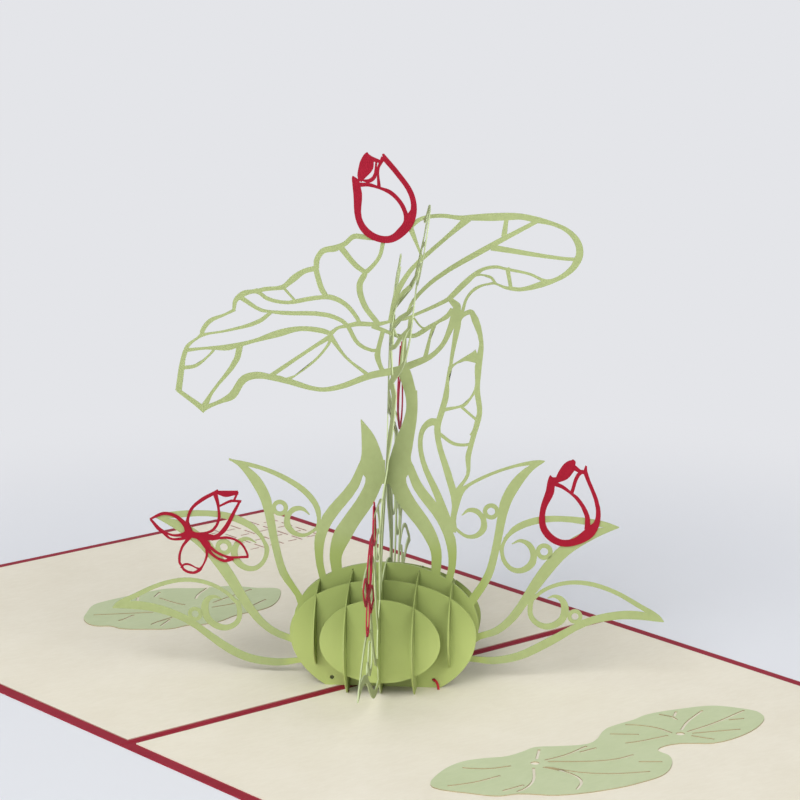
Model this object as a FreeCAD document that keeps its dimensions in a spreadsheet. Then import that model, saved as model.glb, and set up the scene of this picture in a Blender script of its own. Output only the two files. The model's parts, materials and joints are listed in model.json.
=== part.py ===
import FreeCAD, Part
import math
import os
import Sketcher

# A pop up card that lies open: a folded cover with two liners, and a paper lotus that stands
# over the fold. The lotus is ten paper slats in two families that cross at right angles and
# slot into each other, each family at 45 degrees to the fold.
# Millimetres. Z is up, Y runs along the fold, X across it. The origin is the middle of the
# fold on the underside of the cover.

doc = FreeCAD.newDocument("pop_up_card")

SIZES = [
    ("fold_length", 161.0, "cover, along the fold"),
    ("half_width", 151.2, "cover, from the fold to each side edge"),
    ("cover_thickness", 0.35, "card of the cover"),
    ("crease_width", 1.0, "scored line along the fold"),
    ("crease_depth", 0.12, "depth of the scored line"),
    ("liner_thickness", 0.25, "paper of the two liners"),
    ("liner_border", 3.2, "cover left bare round each liner"),
    ("fold_gap", 3.6, "cover left bare between the liners"),
    ("lattice_shift", 2.2, "middle of the lotus, along the fold"),
    ("slat_thickness", 0.3, "paper of the slats"),
    ("slat_pitch", 8.5, "from slat to slat"),
    ("slot_clearance", 0.06, "each side of a slat in its slot"),
    ("slot_end_gap", 0.1, "above and below the meeting slot ends"),
    ("slot_overshoot", 0.4, "slot above the slat that it takes"),
    ("widest_level", 14.0, "height where each oval is widest"),
    ("wide_half", 23.7, "half the width of the six wide ovals"),
    ("wide_drop", 17.8, "lower half axis of the wide ovals, which the card cuts flat"),
    ("tall_rise", 16.2, "upper half axis of the two middle ovals"),
    ("wide_rise", 13.9, "upper half axis of their four neighbours"),
    ("small_half", 15.2, "half the width of the four outer ovals"),
    ("small_drop", 10.5, "lower half axis of the outer ovals"),
    ("small_rise", 11.3, "upper half axis of the outer ovals"),
    ("web_low", 50.0, "foot of the web where the stalks cross"),
    ("web_mid", 53.7, "where the two middle slats meet in the web"),
    ("web_high", 58.5, "head of the web"),
    ("cross_leaf_drop", 4.0, "leaf of the cross slat below that of the front slat"),
    ("cross_leaf_tilt", 19.5, "degrees that the leaf of the cross slat tips back"),
    ("leaf_strand_share", 1.08, "strands of the leaves, against the drawn width"),
    ("bud_strand_share", 1.13, "strands of the buds, against the drawn width"),
    ("leaf_slot_low", 89.4, "foot of the slot where the two leaves cross"),
    ("leaf_slot_high", 93.2, "head of that slot"),
    ("bloom_thickness", 0.3, "paper of the red blooms"),
    ("pad_thickness", 0.25, "paper of the lily pads"),
    ("vein_width", 0.7, "cut lines in the lily pads"),
    ("pad_eye", 1.1, "radius of the hole in a lily pad"),
    ("tab_length", 2.4, "tab under each glued slat"),
    ("tab_reach", 13.2, "middle of the tab, from the fold line of the lattice"),
    ("tab_clearance", 0.25, "round the tab in the slit of the liner"),
    ("thread_diameter", 0.45, "red thread of the stitches"),
    ("thread_clearance", 0.15, "round the thread in the holes of the liner"),
    ("pinhole_clearance", 0.3, "round the thread in the hole of its slat"),
    ("stitch_reach", 13.0, "stitch, along its slat from the middle"),
    ("stitch_radius", 2.0, "loop of the stitch"),
    ("stitch_turn", 38.0, "degrees that the stitch is turned from square to its slat"),
    ("fret_line", 0.6, "cut lines of the fret"),
    ("fret_cell", 7.0, "one cell of the fret"),
    ("fret_inset", 5.0, "fret inside the corner of the liner"),
    ("fret_drop", 3.0, "fret below the corner of the liner"),
]
SLATS = (-2, -1, 0, 1, 2)
# Degrees from the X axis to each family of slats, which cross at right angles.
LATTICE_TURN = 45
FAMILY_TURN = {"front": LATTICE_TURN, "cross": LATTICE_TURN + 90}
FRET_CELLS = 4
# Cuts of one cell of the fret, in shares of the cell: length, angle, and place of the middle.
FRET_CUTS = {"bar": (0.75, 0, 0.0, 0.3), "post": (0.45, 90, 0.2, -0.1)}
CURVE_ERROR = 0.26
SHARPEST_TURN = math.radians(44)
LOOKS_PER_POINT = 12
FINEST_TIP = 0.12
DRAWN_WIDE_HALF = 23.7
DRAWN_LATTICE_SHIFT = 3.9
LEAF_PIVOT = 80.0
JOINT_ACROSS = 4.2
ARCH_STEPS = 9

sheet = doc.addObject("Spreadsheet::Sheet", "Sizes")
for row, (alias, value, meaning) in enumerate(SIZES, start=1):
    sheet.set("A%d" % row, alias)
    sheet.set("B%d" % row, str(value))
    sheet.set("C%d" % row, meaning)
    sheet.setAlias("B%d" % row, alias)
doc.recompute()


def size(alias):
    """The value of a named cell."""
    return float(sheet.get(alias))


def bind(thing, **formulas):
    """Ties properties of an object to the cells of the sheet."""
    for name, formula in formulas.items():
        thing.setExpression(name.replace("__", "."), formula)


# Lines of the paper cut work. Each stroke is a smooth ribbon through points chosen by hand:
# (across, up, width) in the upright plane of its slat. Across is measured from the line where
# the two families cross, up from the top of the liners.

LEAF_RIM = [
    [(-5, 114, 1.2), (-7, 114.3, 1.2), (-9, 113.6, 1.2), (-10.4, 112, 1.2), (-12, 111.2, 1.5),
     (-14.5, 110.9, 1.4), (-16.4, 109.7, 1.3), (-17.3, 107.8, 1.3), (-17.4, 105.8, 1.3)],
    [(-17.4, 106, 1.2), (-20, 105.3, 1.1), (-22.2, 104.1, 1.6), (-24, 102.2, 1.4),
     (-26, 100.9, 1.2), (-29, 100.4, 1.0), (-32, 100.3, 1.1), (-34.5, 99.6, 1.3),
     (-36.8, 98.6, 1.3), (-38, 97, 1.0), (-38.3, 94.8, 0.8)],
    [(-38.1, 95, 0.8), (-39.2, 94.2, 0.6), (-41.5, 93.5, 0.7), (-44, 92.3, 1.0),
     (-45.8, 90.5, 1.1), (-46.5, 88.5, 1.0)],
    [(-46, 88.8, 1.0), (-48.2, 87.3, 0.8), (-50.2, 85.4, 0.9), (-51.2, 83, 1.1),
     (-51.5, 80, 1.1), (-52.2, 77, 1.3), (-52.6, 74, 1.5)],
    [(-53, 74.2, 0.9), (-50.5, 72.7, 1.0), (-48.3, 70.8, 1.2), (-45.9, 68.9, 1.5)],
    [(-46.6, 69.1, 1.3), (-44.5, 70.2, 0.9), (-42, 71.3, 1.0), (-39.8, 72.2, 1.6),
     (-38.5, 73.5, 2.0), (-37.3, 75.6, 1.9), (-36, 77.2, 1.8), (-34, 78.1, 1.7),
     (-31.5, 78.3, 1.6), (-28, 77.8, 1.5), (-24.5, 76.7, 1.4), (-20, 75.5, 1.1),
     (-15.5, 74.9, 1.0), (-11, 76, 1.3), (-7, 77.8, 1.5), (-4, 78.8, 1.6), (0, 79.4, 1.7),
     (4.5, 80.8, 1.9), (8, 82.2, 1.5), (11, 83.8, 1.2), (13.5, 86, 1.1), (15.2, 88.8, 1.1),
     (16.3, 91.5, 1.4), (17.5, 94.5, 2.4), (17.9, 96.5, 2.0), (16.8, 98.2, 1.4),
     (15.7, 99, 1.0)],
    [(18.5, 119.2, 1.1), (21, 119.3, 1.5), (25, 119.4, 1.8), (30, 119.9, 1.6),
     (34, 119.7, 1.4), (37, 118.9, 1.3), (39.5, 118.3, 0.9), (42.5, 117.8, 1.0),
     (45, 116.5, 1.1), (47.3, 114.2, 1.4), (48.2, 111.5, 1.7), (47.8, 109, 1.6),
     (46, 106.5, 1.4), (43.5, 104.6, 1.1), (41, 103.7, 0.9), (39, 103.2, 1.0),
     (36.5, 102.1, 0.9), (33, 101.4, 0.9), (30, 101.8, 0.7), (27.5, 102.9, 0.6),
     (25.5, 102.7, 0.6), (22.8, 101.7, 0.7), (21, 100.2, 0.7), (19.8, 97.8, 0.6),
     (19, 95, 0.8)],
]

# The stroke of the rim that the stalk meets.
UNDERSIDE = 5

LEAF_VEINS = [
    [(-46.3, 88.4, 0.8), (-43, 88.8, 0.7), (-39, 90, 0.5), (-34, 91.3, 0.8),
     (-31.5, 92.4, 1.0), (-29, 94.4, 0.8)],
    [(-37, 98.5, 1.1), (-34.5, 96.8, 0.8), (-32, 95.3, 0.8), (-29.5, 94.6, 0.8),
     (-24, 94.5, 1.0), (-18, 94.4, 1.1), (-13.5, 93.8, 1.0), (-9.5, 91.4, 0.9)],
    [(-33, 100.2, 1.1), (-31, 98.6, 0.9), (-28.5, 97.6, 0.9), (-24.5, 97.1, 0.8),
     (-20, 97.8, 0.9), (-15.5, 98.8, 1.2), (-11.5, 97.8, 1.1), (-9, 95.9, 1.0),
     (-6.6, 92.2, 0.9)],
    [(-25.6, 100.8, 0.6), (-24, 99, 0.5), (-22.6, 97.4, 0.5)],
    [(-50.6, 84.4, 0.9), (-47, 85, 0.6), (-44, 85, 0.8), (-41, 85.1, 1.4), (-37, 86.2, 1.0),
     (-34, 86.9, 0.8), (-30.5, 88.1, 1.4), (-27.5, 89, 1.7), (-24, 90.1, 1.2),
     (-19.5, 90.5, 1.2), (-14, 89.4, 1.0)],
    [(-51.5, 79.8, 0.9), (-49, 80.1, 0.9), (-47.2, 81, 0.7), (-43.5, 84.6, 0.7)],
    [(-36.8, 86, 1.5), (-37.2, 83.5, 1.5), (-38.5, 81, 1.2), (-41.5, 77.2, 0.8),
     (-44.3, 73.3, 0.8), (-46.3, 69.7, 1.6)],
    [(-29, 78.3, 1.0), (-25, 81, 0.7), (-20, 84.5, 0.8), (-16.5, 87, 0.9), (-13.3, 89, 1.2)],
    [(-25.3, 77, 1.0), (-21.5, 79.5, 0.7), (-18, 82.3, 0.6), (-15.5, 85, 0.6),
     (-13.6, 88.5, 0.8)],
    [(-17.6, 106, 1.3), (-17, 103, 1.3), (-15, 98.9, 1.2)],
    [(-11.3, 111.4, 1.4), (-9.5, 108.9, 1.2), (-7, 106.5, 1.2), (-5.2, 105, 1.2),
     (-6.3, 103, 1.4), (-6.4, 100.5, 1.4), (-5.7, 97.5, 1.3), (-4.2, 95, 1.3),
     (-1.9, 92, 1.2)],
    [(-0.5, 113.4, 1.0), (-1, 110.5, 0.9), (-2.2, 108, 0.9), (-5, 105.2, 1.1)],
    [(-14.2, 89.1, 1.2), (-12.3, 90.7, 0.7), (-10, 91.6, 0.9), (-7, 92, 1.2),
     (-3.5, 91.7, 1.1), (0, 92.5, 0.7), (4.5, 93.3, 0.6), (7.2, 94.4, 0.9),
     (10, 95.6, 0.9), (13, 97.1, 0.9), (16, 98.9, 1.0)],
    [(-3.5, 91.5, 1.0), (0, 90.1, 0.9), (2.5, 89.2, 0.9), (4.5, 88.9, 0.9),
     (6.5, 89, 0.9), (8.5, 89.8, 1.1), (11.5, 91.7, 0.9), (14, 93.2, 1.0),
     (16.8, 96.2, 1.2)],
    [(7, 93.8, 0.5), (8, 92.2, 0.4), (9.8, 91, 0.5)],
    [(-9.8, 91.8, 1.0), (-8.6, 89.3, 1.0), (-7, 87, 0.9), (-5, 85.7, 0.8), (-1.9, 85.2, 0.8)],
    [(-0.7, 90.4, 1.0), (-1.5, 87.5, 1.1), (-2.1, 85, 1.4), (-1.9, 82.5, 1.2),
     (-0.6, 79.8, 1.1)],
    [(-13.8, 88.4, 1.2), (-12, 85.8, 0.7), (-10, 83.3, 0.6), (-7.5, 81.2, 0.6),
     (-4.6, 79, 0.9)],
    [(1, 92.6, 0.9), (2, 97.5, 1.1), (3.5, 101.5, 1.3), (6, 105.5, 1.1), (9, 108.9, 0.8)],
    [(4.2, 93.1, 0.8), (6, 96.8, 0.8), (8.5, 100, 0.9), (12, 103.4, 1.0), (16, 106, 0.9),
     (20, 108.2, 1.0), (24.5, 110.9, 1.2), (27, 112.6, 1.3), (29.5, 114.4, 1.1),
     (33, 116.2, 1.0), (37.5, 118.6, 0.9)],
    [(12.2, 92.2, 1.0), (11.2, 88.5, 1.0), (9.8, 83.4, 1.0)],
    [(6.3, 94, 1.0), (5.9, 91.5, 0.9), (5.7, 89, 0.9)],
    [(4.7, 89.2, 0.9), (4.9, 85, 0.9), (4.7, 80.8, 1.0)],
    [(30.1, 119.8, 0.9), (29.8, 117, 0.9), (29.4, 114.6, 1.3)],
    [(26.3, 111.9, 1.4), (30, 111.2, 1.1), (35, 110.7, 0.9), (40, 109.8, 0.9),
     (44, 109.4, 0.8), (47.8, 109.2, 0.8)],
    [(40, 103.6, 1.0), (36.5, 105.2, 0.6), (33, 106, 0.7), (30, 106.8, 0.8),
     (27, 107, 0.7), (24.8, 106.6, 0.7), (23, 105.7, 1.0), (21, 104, 1.3),
     (19, 101.8, 1.2), (15.8, 98.7, 1.2)],
    [(30.3, 106.9, 1.0), (31, 104, 0.9), (31.3, 101.4, 0.8)],
    [(22.8, 105, 0.7), (25.5, 104.7, 0.6), (26.6, 104.1, 0.6), (27.4, 102.9, 0.6)],
]

# The rim across the cleft of the leaf, which only the front slat has.
LEAF_CLEFT = [
    [(-5.5, 114, 1.1), (-3, 113.6, 1.2), (0, 113.5, 1.2), (3, 114.7, 1.2), (5, 116, 1.3),
     (6.5, 117.4, 1.2), (9, 118.9, 0.9), (12, 119.6, 0.9), (15, 119.6, 0.9), (18, 119.1, 0.9),
     (21, 119.3, 1.4)],
    [(6, 117, 1.4), (7, 114.8, 0.9), (8, 112, 0.6), (9.1, 109.1, 0.6)],
    [(8, 107.8, 1.0), (9.5, 109.4, 1.0), (12, 111.7, 0.9), (15.5, 114.7, 1.0),
     (18.5, 117, 1.3), (20.4, 119, 1.8)],
]

SIDE_LEAF = [
    [(16, 40.5, 2.0), (14.9, 44, 2.0), (13.2, 48, 1.7), (11.9, 50.5, 1.5),
     (10.1, 54.8, 1.3), (8.9, 59, 1.1), (8.7, 62, 1.1), (9.3, 65, 1.2), (10.8, 66.8, 1.6),
     (13.6, 67.1, 1.9)],
    [(17.8, 46, 2.0), (16.8, 49.5, 1.6), (15.9, 53, 1.6), (15.1, 56.5, 1.6),
     (14.2, 59.7, 1.2), (13.2, 62.5, 1.3), (12.9, 64.8, 1.5), (13.4, 67.5, 1.4),
     (14.3, 70.5, 1.2), (15.3, 74.5, 1.4), (15.9, 78, 1.0), (16.3, 81.5, 0.8),
     (16.7, 85, 0.9), (17.3, 89, 1.1), (18, 92, 1.5), (18.4, 95, 1.8)],
    [(18.3, 94, 1.4), (19.8, 95, 1.0), (21.2, 95.5, 1.2), (22.4, 93, 1.3),
     (23.5, 90, 1.2), (24, 87, 1.0), (23.6, 83.5, 1.6), (23, 80, 1.5), (22.8, 77, 1.4),
     (23.3, 74, 1.3), (23.7, 71, 1.2), (23.3, 68.2, 1.3), (22.3, 65.2, 1.4),
     (21.8, 62.3, 1.1), (21, 59.5, 1.1), (20.8, 57, 1.4), (21, 55, 1.0), (20.1, 52.3, 0.8),
     (18.8, 50.2, 0.9), (17.2, 48, 1.2)],
    [(19.5, 83.4, 0.8), (21.5, 83.7, 2.0), (23.2, 84.2, 3.6)],
    [(15.9, 81, 0.7), (17.8, 82.5, 0.7), (20.3, 83.8, 0.9)],
    [(14.6, 70.3, 0.9), (17, 70.9, 0.9), (19.2, 71.3, 0.8), (20.8, 73.3, 0.8),
     (22.8, 75.8, 0.9)],
    [(19, 71.2, 0.6), (21, 69.3, 0.6), (23.2, 67.6, 0.6)],
    [(12.8, 64.6, 0.9), (14.5, 63.2, 0.9), (16.5, 61.9, 0.8), (18.7, 61.3, 0.7),
     (21.8, 61.9, 0.7)],
    [(22.3, 65, 1.0), (21.5, 63.8, 0.8)],
]
SIDE_CREST = [
    [(16.9, 38.5, 1.8), (17.1, 42, 1.8), (17.5, 45.2, 2.1), (18.2, 47.5, 1.9),
     (19.4, 49.6, 1.3), (21.5, 51.4, 1.0), (25, 53.2, 0.8), (30, 55.4, 0.8),
     (34, 56.5, 0.8), (37.5, 57.2, 1.1), (40.1, 57.6, 0.2)],
]
PLAIN_CREST = [
    [(16.9, 38.5, 1.4), (16.9, 42, 1.5), (17.4, 45, 1.4), (19, 47.6, 1.5),
     (21.5, 49.9, 1.5), (25, 51.9, 1.3), (29.5, 54.1, 1.1), (33.5, 55.2, 1.0),
     (37, 56.3, 1.0), (40, 57.2, 0.2)],
]

LEAF_STALK = [
    [(2.2, 51.5, 4.6), (3.2, 55, 5.8), (4, 59, 5.2), (5, 63, 4.1), (6.1, 67, 3.3),
     (6.6, 71, 2.8), (6.4, 75, 3.0)],
]
SPIRE = [
    [(-2.4, 51.5, 4.4), (-3.2, 55, 6.0), (-3.8, 58.6, 5.2), (-4.3, 61.7, 4.0),
     (-5, 64.3, 2.3), (-6.3, 67.4, 0.2)],
]
WEB = [
    [(-3.2, 53.9, 6.2), (3.2, 53.9, 6.2)],
]
STALK = [
    [(2.7, 52.3, 4.6), (4, 48.5, 4.3), (6.2, 45.1, 3.8), (8.8, 41.8, 3.5), (11, 38, 3.4),
     (12.5, 34.5, 2.9), (13, 31, 2.5), (12.8, 28, 2.3), (12.4, 24, 2.2)],
    [(5.1, 59.5, 0.6), (5.7, 56.8, 1.8), (6.5, 53.6, 2.3), (8.3, 50, 2.5), (10.8, 46.9, 2.7),
     (13.2, 43.8, 2.8), (15, 40.5, 2.9), (16.3, 37, 2.7), (16.9, 33, 2.1), (16.8, 29, 1.9),
     (16.2, 25.5, 2.0), (15.4, 22, 1.8)],
]
LEFT_STALK = [
    [(-2.7, 52.3, 4.6), (-4, 48.5, 4.3), (-6, 45.1, 4.0), (-8.2, 41.8, 4.0),
     (-10.6, 38, 4.6), (-12.2, 34.5, 3.9), (-12.9, 31, 3.0), (-12.8, 28, 2.5),
     (-12.4, 24, 2.3)],
    [(-5.1, 59.5, 0.6), (-5.7, 56.8, 1.8), (-6.5, 53.6, 2.3), (-8.3, 50, 2.6),
     (-10.8, 46.9, 2.9), (-13.3, 43.8, 3.0), (-15.3, 40.5, 3.0), (-16.7, 37, 2.8),
     (-17.1, 33, 2.1), (-16.9, 29, 1.9), (-16.2, 25.5, 2.0), (-15.4, 22, 1.8)],
]

FROND_UPPER = [
    [(20.4, 18, 2.2), (22.6, 21.3, 2.3), (24.9, 25, 2.1), (27, 30, 2.0), (28, 35, 2.0),
     (28.8, 40, 2.4), (29.8, 45, 2.6), (31.9, 50, 2.8), (34, 53, 2.4), (36.5, 55.6, 1.6),
     (40, 57.5, 0.2)],
    [(19.3, 43, 0.2), (20.2, 44, 0.7), (21.6, 44.5, 1.1), (23.3, 44, 1.4),
     (24.6, 42.7, 1.6), (25, 41, 1.7), (24.6, 39.3, 1.6), (23.4, 38, 1.3),
     (21.6, 37.4, 1.0), (19.8, 37.8, 0.8), (18.3, 38.9, 0.8), (16.9, 40.5, 0.9)],
]
FROND_MIDDLE = [
    [(20.2, 9.5, 2.1), (23, 10.4, 2.1), (25.5, 11.4, 2.0), (28.3, 12.8, 1.9),
     (31.2, 15.1, 2.0), (34, 18.8, 2.3), (36.2, 22.2, 2.7), (38.3, 25.7, 3.0),
     (40.7, 29, 3.0), (43.2, 32.3, 3.1), (46, 35, 3.1), (49.5, 37.4, 2.8),
     (53.5, 39.4, 2.4), (56.5, 40.3, 1.3), (59, 40.8, 0.2)],
    [(30.2, 37, 0.9), (31.8, 39, 1.4), (34, 40.5, 1.7), (36.6, 41.6, 1.8),
     (39.5, 42.4, 1.7), (43, 42.7, 1.5), (47, 42.6, 1.5), (51, 42.2, 1.6),
     (54.5, 41.6, 1.6), (59, 40.8, 0.2)],
    [(32, 35.8, 0.2), (33.1, 36.5, 0.6), (34.5, 36.7, 0.9), (36, 36, 1.3),
     (37.2, 34.7, 1.7), (37.7, 33, 2.0), (37.3, 31.2, 1.9), (36, 29.7, 1.6),
     (34, 28.8, 1.4), (32, 29.2, 1.2), (30.5, 30.6, 1.1), (29.6, 32.5, 1.1),
     (29.4, 34.7, 1.2), (30, 36.6, 1.0), (31, 38.2, 0.9)],
]
FROND_LOWER = [
    [(18.2, 5, 1.9), (21, 4.7, 1.9), (25, 4.7, 1.9), (30, 5.1, 2.0), (34, 6.2, 2.1),
     (38, 8, 2.2), (42, 10.4, 2.2), (46, 13, 2.1), (50, 15.2, 1.9), (54, 16.6, 2.0),
     (58, 17.5, 2.1), (62, 17.9, 2.2), (66, 17.6, 2.0), (69, 16.9, 1.2), (70.7, 16.3, 0.2)],
    [(37.4, 21.4, 1.0), (38.7, 22.8, 1.1), (40.5, 24, 0.9), (42.7, 25.1, 1.0),
     (45.3, 25.8, 1.0), (49, 26.1, 1.1), (53, 25.6, 1.1), (58, 23.9, 1.1), (63, 21.3, 1.1), (66, 19.3, 1.4),
     (68.6, 17.8, 1.4), (70.7, 16.3, 0.2)],
    [(41.2, 21.8, 0.2), (42.3, 22.3, 0.6), (43.6, 22.2, 1.0), (44.9, 21.3, 1.5),
     (45.6, 19.6, 1.9), (45.5, 17.8, 1.9), (44.7, 16, 1.8), (43, 14.8, 1.7),
     (41, 14.2, 1.6), (38.8, 14.9, 1.4), (37.3, 16.3, 1.3), (36.7, 18.2, 1.3),
     (36.9, 20.2, 1.3), (37.3, 22, 1.2)],
]
# The fronds on the left of the front slat hang lower than those on the right and spread wider:
# (distance from the middle, lower by, wider by).
UPPER_HANG = [(16, 1.0, 0.1), (26, 0.3, 0.4), (33, 0.5, 0.4), (40, 1.0, 0.0)]
MIDDLE_HANG = [(18, 2.2, 0.2), (30, 1.4, 1.2), (40, 0.85, 1.4), (48, 0.6, 1.0), (59, 0.0, 0.4)]
LOWER_HANG = [(18, 1.2, 0.0), (28, 2.0, 0.0), (37, 2.9, 1.0), (47, 2.0, 1.1), (60, 1.1, 0.5),
              (71, 0.0, 0.0)]
# Eyelets between the scrolls and the fronds: (across, up, outer radius, inner radius).
EYELETS = [(26.7, 44.2, 2.1, 1.0), (40.2, 34, 2.15, 1.0), (48.2, 17.1, 1.9, 0.9)]
EYELET_SIDES = 12

TOP_BUD = [
    [(-8.2, 129.3, 0.3), (-7.4, 128, 1.6), (-7, 126, 2.0), (-6.9, 123, 1.6),
     (-6.9, 120, 1.4), (-6, 117, 1.5), (-4.1, 114.9, 1.6), (-1.5, 113.7, 1.5),
     (1, 113.6, 1.6), (3.5, 115, 1.9), (5.4, 117.5, 2.4), (6.8, 120, 1.7),
     (7, 122.5, 1.2), (6.2, 125.5, 1.2), (4.5, 128.3, 1.2), (2, 131.2, 1.2),
     (0.1, 133.4, 1.3), (-0.6, 135, 0.4)],
    [(5.4, 118.6, 1.5), (4.6, 121.3, 1.0), (3, 123.8, 0.9), (1, 125.5, 0.9),
     (-1.5, 126.6, 0.8), (-4, 127.2, 0.8), (-7, 127.2, 1.0)],
    [(-1.6, 126.6, 0.8), (-2, 129.5, 0.7), (-1.6, 132.2, 0.7), (-0.6, 134, 1.0)],
    [(-6.4, 128.2, 1.0), (-5.3, 130.2, 2.5), (-4.6, 132.6, 3.2), (-4.5, 134.2, 1.8),
     (-4.6, 135.3, 0.3)],
    [(-4.6, 134.2, 1.4), (-3, 133.6, 1.2), (-1, 132.9, 0.6)],
    [(-5.6, 128.3, 0.4), (-3.8, 128.3, 0.9), (-2.9, 129, 0.9), (-2.4, 131.5, 0.4),
     (-2.2, 133.4, 0.4)],
]
RIGHT_BUD = [
    [(41.5, 54, 0.3), (41.9, 52.5, 1.8), (41.7, 50.5, 2.0), (40.8, 48, 1.5),
     (39.9, 45.5, 1.3), (39.6, 43, 1.5), (39.9, 40.5, 1.5), (41.3, 38.3, 1.6),
     (43.5, 36.8, 1.5), (46, 36.4, 1.6), (48.8, 37.3, 1.8), (51.2, 39, 2.4),
     (53, 41, 1.6), (53.7, 43.5, 1.1), (53.6, 46, 1.0), (52.6, 49, 1.1), (51.3, 52, 1.1),
     (50.4, 54.5, 1.1), (50.5, 56.7, 0.4)],
    [(51.1, 40, 1.5), (51.1, 43, 1.1), (50, 45.8, 0.9), (48.5, 48, 0.8),
     (46.8, 49.7, 0.8), (45, 50.9, 0.8), (41.9, 52.2, 1.1)],
    [(47, 49.6, 0.8), (47.5, 51.8, 0.7), (48.2, 53.6, 0.8), (49.2, 55, 0.9),
     (50.4, 55, 1.0)],
    [(43, 52.6, 1.0), (44.8, 54.2, 2.6), (46.3, 56.2, 2.8), (47, 58.2, 0.4)],
    [(46.6, 56.8, 1.4), (48, 56, 0.9), (49.3, 55, 0.7)],
    [(42, 52.9, 1.2), (44, 53, 1.0)],
]
LEFT_FLOWER = [
    [(-60.4, 40.2, 0.5), (-58.5, 41.3, 0.8), (-56, 41.8, 0.8), (-54, 41.2, 0.9),
     (-52.2, 39.9, 1.1), (-51, 38.4, 1.6), (-50.2, 36.6, 2.0)],
    [(-60.4, 40.2, 0.5), (-59, 38.6, 1.0), (-57.4, 37, 0.9), (-55.5, 36.2, 0.6),
     (-53.3, 36, 0.7), (-51, 36.6, 1.8)],
    [(-57.6, 37.1, 0.8), (-56.6, 35.9, 0.7), (-55.2, 35.1, 0.5), (-53.3, 35, 0.6),
     (-50.8, 35.9, 1.5)],
    [(-50.2, 37, 1.6), (-50.8, 38.5, 1.1), (-50.8, 40.5, 0.9), (-50.1, 42.5, 0.8),
     (-48.7, 44.4, 0.8), (-46.5, 45.9, 1.0), (-44.4, 47, 1.1), (-42.9, 48.3, 0.4)],
    [(-43.6, 47.3, 1.2), (-43.2, 45.5, 0.7), (-42.7, 43.5, 0.8), (-42.6, 41.5, 0.8),
     (-43.1, 39.4, 0.7), (-44.4, 37.6, 0.7), (-46.3, 36.6, 0.9), (-48.2, 36.1, 1.2)],
    [(-43.4, 47.7, 0.8), (-41.4, 47.3, 1.6), (-39.5, 47.4, 1.5), (-37.7, 47.7, 1.0)],
    [(-37.8, 47.9, 0.6), (-38.3, 46.4, 0.5), (-38.9, 45.3, 0.6)],
    [(-42.8, 43.9, 0.5), (-41.2, 44.9, 0.5), (-39.3, 45.5, 0.7), (-36.9, 45.4, 0.6)],
    [(-37.2, 45.6, 0.6), (-38.5, 43.5, 0.9), (-39.2, 41.5, 0.9), (-40.2, 39.5, 1.1),
     (-41.7, 37.5, 1.2), (-43.6, 35.8, 1.2)],
    [(-51.2, 36.7, 1.6), (-49.5, 36.5, 2.0), (-47.4, 35.9, 2.1), (-45.4, 35.8, 1.8),
     (-43, 35.7, 1.2)],
    [(-48, 35.9, 1.5), (-46.2, 34.1, 2.0), (-45.3, 32.4, 1.4)],
    [(-44.8, 35.3, 0.9), (-42, 35.8, 0.6), (-39.6, 35.6, 0.6), (-37.8, 34.9, 0.5),
     (-36.4, 33.5, 0.5), (-35.4, 30.9, 0.5)],
    [(-35.2, 30.8, 0.6), (-37.5, 30.7, 0.8), (-39.5, 30.5, 0.9), (-41.2, 30.7, 0.6),
     (-42.8, 31.4, 0.6), (-45, 33.1, 0.8)],
    [(-39.2, 30.2, 0.9), (-41.5, 29.6, 0.7), (-43.2, 30.2, 0.6), (-45.4, 32.2, 0.9)],
    [(-50, 36.2, 1.2), (-51.6, 34.3, 0.8), (-52.7, 31.9, 0.6), (-53.1, 29.5, 0.6),
     (-52.6, 27.7, 0.6), (-51.3, 26.6, 0.6), (-49.7, 26.2, 0.6), (-48.2, 26.7, 0.7),
     (-46.9, 28.2, 0.6), (-46.1, 30.3, 0.6), (-45.9, 32.6, 0.8)],
    [(-52.6, 27.4, 0.6), (-51.7, 28.4, 0.5), (-50.6, 28.4, 0.5), (-49.7, 27.8, 0.5),
     (-48.6, 27.3, 0.5), (-47.4, 27.5, 0.6)],
]

# How far the two buds of the cross slat stand from where they are drawn: (across, up).
SMALL_BUD_PLACE = (-10.2, 26)
REAR_BUD_PLACE = (37, -56.5)

# Outlines and cut veins of the two pieces of lily pads, as (across the fold, along the fold).
BACK_PAD = [
    (-78.3, 30), (-75, 27.8), (-70.8, 23.5), (-67.5, 19), (-66.3, 14), (-66.8, 8),
    (-65.5, 2), (-65.2, -5), (-67.6, -10), (-67.5, -13.5), (-70, -18.3), (-73.8, -22.6),
    (-77, -25.5), (-80, -26), (-82, -28.4), (-85, -29.6), (-88.5, -28.8), (-92, -26.8),
    (-96, -22.5), (-99.2, -18.8), (-100.2, -13), (-99.8, -6), (-100, 1), (-98.8, 7),
    (-95, 11.5), (-92, 17), (-88.6, 23), (-84, 25.5), (-81.2, 29),
]
BACK_PAD_EYES = [(-78.5, 0.5)]
BACK_PAD_VEINS = [
    [(-92.7, 15.8), (-90, 11), (-86, 6.5)],
    [(-97.5, 2.6), (-94.8, -1.2)],
    [(-93, -0.8), (-88.5, -0.6), (-83, 0.8)],
    [(-98, -4.5), (-92, -7.8), (-84, -4.5)],
    [(-91.5, -24), (-88.2, -19), (-83, -10)],
    [(-84.5, -15.5), (-83.2, -18.5), (-82.8, -21.8)],
    [(-76.2, -7), (-75.6, -12), (-74.2, -17)],
    [(-74.6, -10.5), (-71.5, -15.8)],
    [(-76.6, 5), (-75.6, 11), (-76, 16)],
    [(-83.5, 24), (-82.2, 17), (-80, 8)],
    [(-73, 21), (-70.8, 15)],
]
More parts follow.
